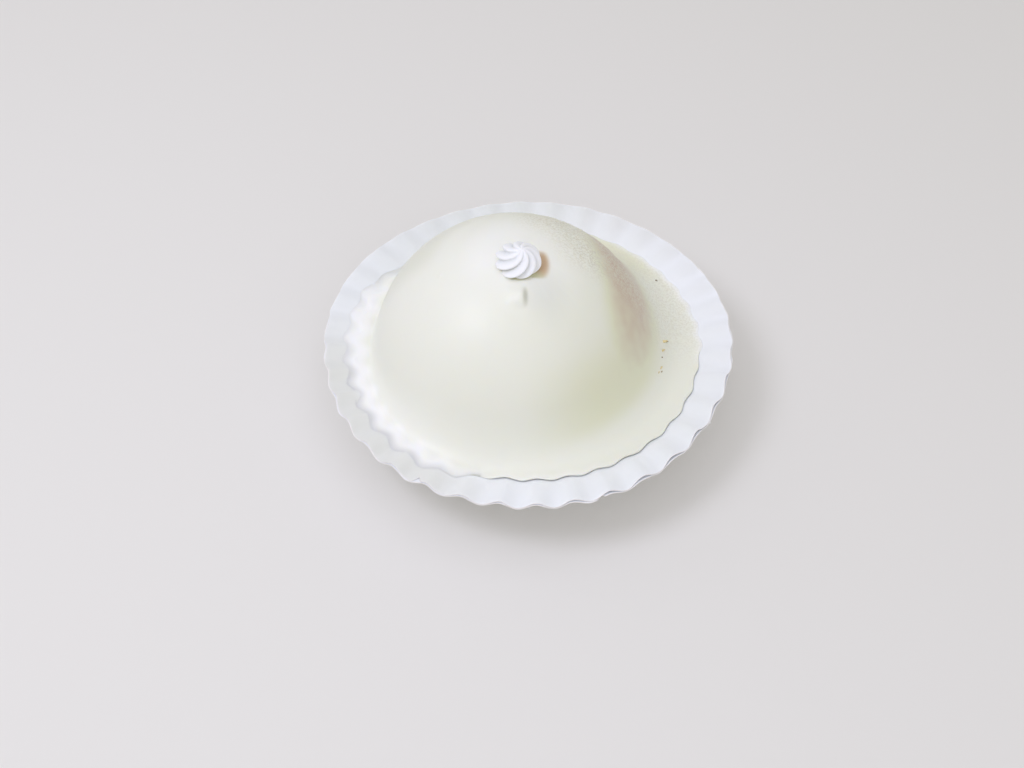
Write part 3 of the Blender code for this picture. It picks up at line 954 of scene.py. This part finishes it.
scrapSkins, scrapDark = [], []
for number, (x, y, length, width, turnDeg, darkness) in enumerate(zest["scraps"]):
    scrapSkins.append(scrapSkin(x, y, length, width, turnDeg, number))
    scrapDark.append(np.full(zest["rows"] * zest["columns"] + 2, darkness))
zestPiece = closedSkin("zest_flecks", scrapSkins, candiedZest(), {"dark": np.concatenate(scrapDark)})


# what each piece rides on and stands for

for piece, slot, node in (
    (innerPiece, "case_paper", "inner_case"),
    (outerPiece, "case_paper", "outer_case"),
    (burrPiece, "case_paper", None),
    (domePiece, "lemon_glaze", "glazed_cake"),
    (rosettePiece, "whipped_cream", "cream_rosette"),
    (zestPiece, "lemon_glaze", None),
):
    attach(piece, "root")
    if node:
        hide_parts(node)
print("pieces ride on the root")


# floor, light and camera

studio = dict(
    floor="#E8E5DF", floorSize=3000.0, floorRoughness=0.75, floorSheen=0.2, air="#FEFEF7", airStrength=0.545,
    aimHeight=25.0, lights=(
        # name, direction, elevation, distance, size, watts, colour
        ("key_window", 200.0, 57.0, 700.0, 250.0, 1.35, "#E8EAFF"),
        ("soft_top", 0.0, 88.0, 900.0, 800.0, 1.50, "#E1E1FF"),
        ("soft_front", 290.0, 42.0, 800.0, 700.0, 1.06, "#E3E3FF"),
        ("soft_back", 140.0, 40.0, 800.0, 600.0, 0.42, "#DEDEFF"),
    ),
)


def paleFloor():
    # a matt painted board, one square of it
    half = studio["floorSize"] / 2 * mm
    mesh = bpy.data.meshes.new("pale_floor")
    corners = [(-half, -half, 0), (half, -half, 0), (half, half, 0), (-half, half, 0)]
    mesh.from_pydata(corners, [], [(0, 1, 2, 3)])
    made, tree = emptyMaterial("matt_white_board")
    shader = addNode(tree, "ShaderNodeBsdfPrincipled", {
        "Base Color": linear(studio["floor"]), "Roughness": studio["floorRoughness"],
        "Specular IOR Level": studio["floorSheen"],
    })
    addNode(tree, "ShaderNodeOutputMaterial", links={"Surface": shader.outputs["BSDF"]})
    mesh.materials.append(made)
    floor = bpy.data.objects.new("pale_floor", mesh)
    bpy.context.scene.collection.objects.link(floor)


def softLight(name, direction, elevation, distance, size, watts, colour):
    # a square softbox that looks at a point in the cake, from its direction and elevation
    lamp = bpy.data.lights.new(name, "AREA")
    lamp.shape = "SQUARE"
    lamp.size = size * mm
    lamp.energy = watts
    lamp.color = linear(colour)[:3]
    turn, lift = math.radians(direction), math.radians(elevation)
    away = Vector((math.cos(turn) * math.cos(lift), math.sin(turn) * math.cos(lift), math.sin(lift)))
    item = bpy.data.objects.new(name, lamp)
    item.location = away * distance * mm + Vector((0, 0, studio["aimHeight"] * mm))
    item.rotation_euler = away.to_track_quat("Z", "Y").to_euler()
    bpy.context.scene.collection.objects.link(item)


def studioAir():
    # even light from all round, a little warm
    world = bpy.data.worlds.new("studio_air")
    world.use_nodes = True
    world.node_tree.nodes.clear()
    air = addNode(world.node_tree, "ShaderNodeBackground", {"Color": linear(studio["air"]),
                                                            "Strength": studio["airStrength"]})
    addNode(world.node_tree, "ShaderNodeOutputWorld", links={"Surface": air.outputs["Background"]})
    bpy.context.scene.world = world


paleFloor()
for light in studio["lights"]:
    softLight(*light)
studioAir()
bpy.context.scene.view_settings.view_transform = "Standard"
bpy.context.scene.view_settings.look = "None"


view = dict(
    elevation=49.34, roll=-0.3, frame=(1024, 768), focalPixels=1400.0, sensor=36.0, clipStart=10.0,
    rimPixel=(527.6, 340.9), rimDepth=407.6,    # where the photograph has the rim's middle, and how deep
)


def placeCamera():
    # looks along +Y and down by the elevation; the middle of the rim falls on its pixel at its depth
    lift, roll = math.radians(view["elevation"]), math.radians(view["roll"])
    back = Vector((0, -math.cos(lift), math.sin(lift)))
    right = Vector((1, 0, 0))
    up = back.cross(right)
    right, up = right * math.cos(roll) + up * math.sin(roll), up * math.cos(roll) - right * math.sin(roll)
    width, height = view["frame"]
    depth, focal = view["rimDepth"] * mm, view["focalPixels"]
    aside = (view["rimPixel"][0] - width / 2) / focal * depth
    below = (view["rimPixel"][1] - height / 2) / focal * depth
    rimMiddle = Vector((0, 0, cup["height"] * mm))
    lens = bpy.data.cameras.new("studio_camera")
    lens.sensor_width = view["sensor"]
    lens.lens = focal / width * view["sensor"]
    lens.clip_start = view["clipStart"] * mm
    item = bpy.data.objects.new("studio_camera", lens)
    turned = Matrix((right, up, back)).transposed()
    place = Matrix.Translation(rimMiddle - right * aside + up * below + back * depth)
    item.matrix_world = place @ turned.to_4x4()
    bpy.context.scene.collection.objects.link(item)
    bpy.context.scene.camera = item


placeCamera()
print("studio set")
